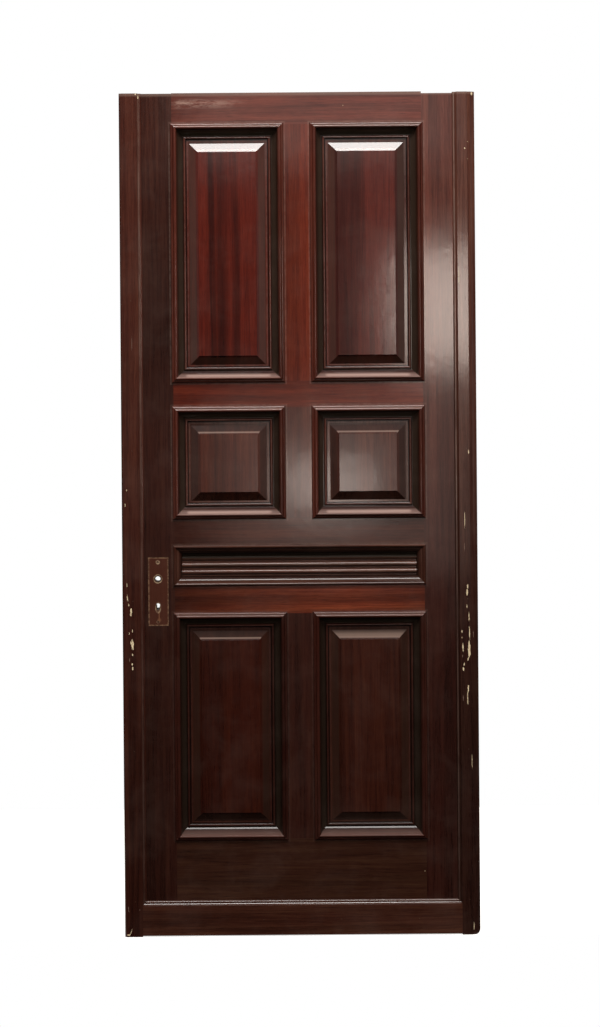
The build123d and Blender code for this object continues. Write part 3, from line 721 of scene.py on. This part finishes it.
# In metres, apart from the roll. HEIGHT_IN_VIEW is what the picture takes in at the door's front.
CAMERA_STAND = Vector((-0.215, -4.317, 1.45))
CAMERA_AIM = Vector((0.0013, -0.01675, 1.067))
CAMERA_ROLL = math.radians(-0.45)
HEIGHT_IN_VIEW = 2.6014


def add_camera():
    """The camera faces the door's plane squarely, from the left of its middle and well above its lock. Its
    lens is shifted to bring the aim to the middle of the picture."""
    data = bpy.data.cameras.new("camera")
    data.sensor_fit = "VERTICAL"
    data.sensor_height = 36.0
    data.lens = data.sensor_height * (CAMERA_AIM.y - CAMERA_STAND.y) / HEIGHT_IN_VIEW
    camera = bpy.data.objects.new("camera", data)
    level = Matrix.Rotation(math.pi / 2, 4, "X")
    camera.matrix_world = Matrix.Translation(CAMERA_STAND) @ level @ Matrix.Rotation(CAMERA_ROLL, 4, "Z")
    turned = camera.matrix_world.to_3x3()
    data.shift_x = (turned @ Vector((1, 0, 0))).dot(CAMERA_AIM - CAMERA_STAND) / HEIGHT_IN_VIEW
    data.shift_y = (turned @ Vector((0, 1, 0))).dot(CAMERA_AIM - CAMERA_STAND) / HEIGHT_IN_VIEW
    bpy.context.scene.collection.objects.link(camera)
    bpy.context.scene.camera = camera


WARM = (1.0, 0.93, 0.86)
# Each light's name, place, what it faces, width, height, brightness and colour. brightness is what its
# surface looks like, where 1 is white.
LIGHTS = [
    ("softbox_above", (0.15, -3.0, 5.3), (0, 0, 1.6), 2.2, 1.4, 22.0, (1.0, 0.97, 0.94)),
    ("round_glow_right", (0.97, -4.3, 1.72), (0, 0, 1.3), 0.48, 0.58, 12.6, (1.0, 0.85, 0.75)),
    ("low_glow", (0.36, -4.3, 0.83), (0, 0, 1.0), 0.44, 0.24, 8.6, (1.0, 0.87, 0.78)),
    ("low_haze", (0.42, -4.3, 0.85), (0, 0, 1.0), 1.3, 0.9, 0.8, (1.0, 0.87, 0.78)),
    ("high_glow", (0.35, -4.3, 2.72), (0, 0, 1.6), 1.4, 0.55, 1.2, WARM),
    ("left_sheen", (-3.2, -3.4, 1.7), (0, 0, 1.3), 1.2, 2.2, 0.3, WARM),
    ("right_sheen", (3.4, -3.4, 1.7), (0, 0, 1.3), 1.2, 2.2, 0.35, WARM),
    ("back_fill", (1.2, 3.6, 2.6), (0, 0, 1.0), 2.4, 2.4, 3.0, WARM),
]


def add_light(name, place, target, width, height, brightness, colour):
    data = bpy.data.lights.new(name, "AREA")
    data.shape = "RECTANGLE"
    data.size = width
    data.size_y = height
    data.energy = brightness * math.pi * width * height
    data.color = colour
    light = bpy.data.objects.new(name, data)
    light.location = place
    light.rotation_euler = (Vector(target) - Vector(place)).to_track_quat("-Z", "Y").to_euler()
    light.visible_camera = False
    bpy.context.scene.collection.objects.link(light)


def add_floor():
    """A pale floor that glows as white as the background where it is seen, and still takes a shadow."""
    material, graph = new_material("pale_floor")
    path = graph.node("LightPath").outputs
    seen = graph.largest(path["Is Camera Ray"], path["Is Glossy Ray"], path["Is Transmission Ray"])
    paint = graph.node("BsdfDiffuse", {"Color": linear(225, 225, 225)})
    glow = graph.node("Emission", {"Color": WHITE, "Strength": graph.product(seen, 0.6)})
    graph.show(graph.node("AddShader", {0: paint.outputs[0], 1: glow.outputs[0]}))
    side, front, back = 1.2, -0.03, 1.2
    corners = [(-side, front, 0), (side, front, 0), (side, back, 0), (-side, back, 0)]
    plane = add_mesh("floor", corners, [(0, 1, 2, 3)], material)


# The world's light by how far up a ray goes, as (upward, level), for matt surfaces and for reflections.
AMBIENT = [(-0.3, 0.02), (0.0, 0.10), (0.25, 0.6), (0.6, 1.0), (1.0, 1.0)]
DIM_ROOM = [(-0.3, 0.01), (0.0, 0.04), (0.2, 0.05), (0.5, 0.10), (0.8, 0.3), (1.0, 0.4)]
STRAIGHT_BACK = 0.9


def add_world():
    """White where the camera sees it. The varnish mirrors it only straight behind the door, and a dim room
    everywhere else."""
    world = bpy.data.worlds.new("studio")
    bpy.context.scene.world = world
    world.use_nodes = True
    graph = Graph(world.node_tree)
    path = graph.node("LightPath").outputs
    _, backward, upward = graph.split(graph.node("TexCoord").outputs["Generated"])
    white_behind = graph.math("GREATER_THAN", backward, STRAIGHT_BACK)
    mirrored = graph.largest(graph.levels(upward, DIM_ROOM), white_behind)
    strength = graph.largest(
        graph.product(path["Is Diffuse Ray"], graph.levels(upward, AMBIENT)),
        graph.product(graph.largest(path["Is Glossy Ray"], path["Is Transmission Ray"]), mirrored),
        path["Is Camera Ray"])
    colour = graph.mix(path["Is Camera Ray"], (*WARM, 1.0), WHITE)
    graph.show(graph.node("Background", {"Color": colour, "Strength": strength}), "OutputWorld")


bpy.context.scene.view_settings.view_transform = "Standard"
add_camera()
add_floor()
add_world()
for light in LIGHTS:
    add_light(*light)
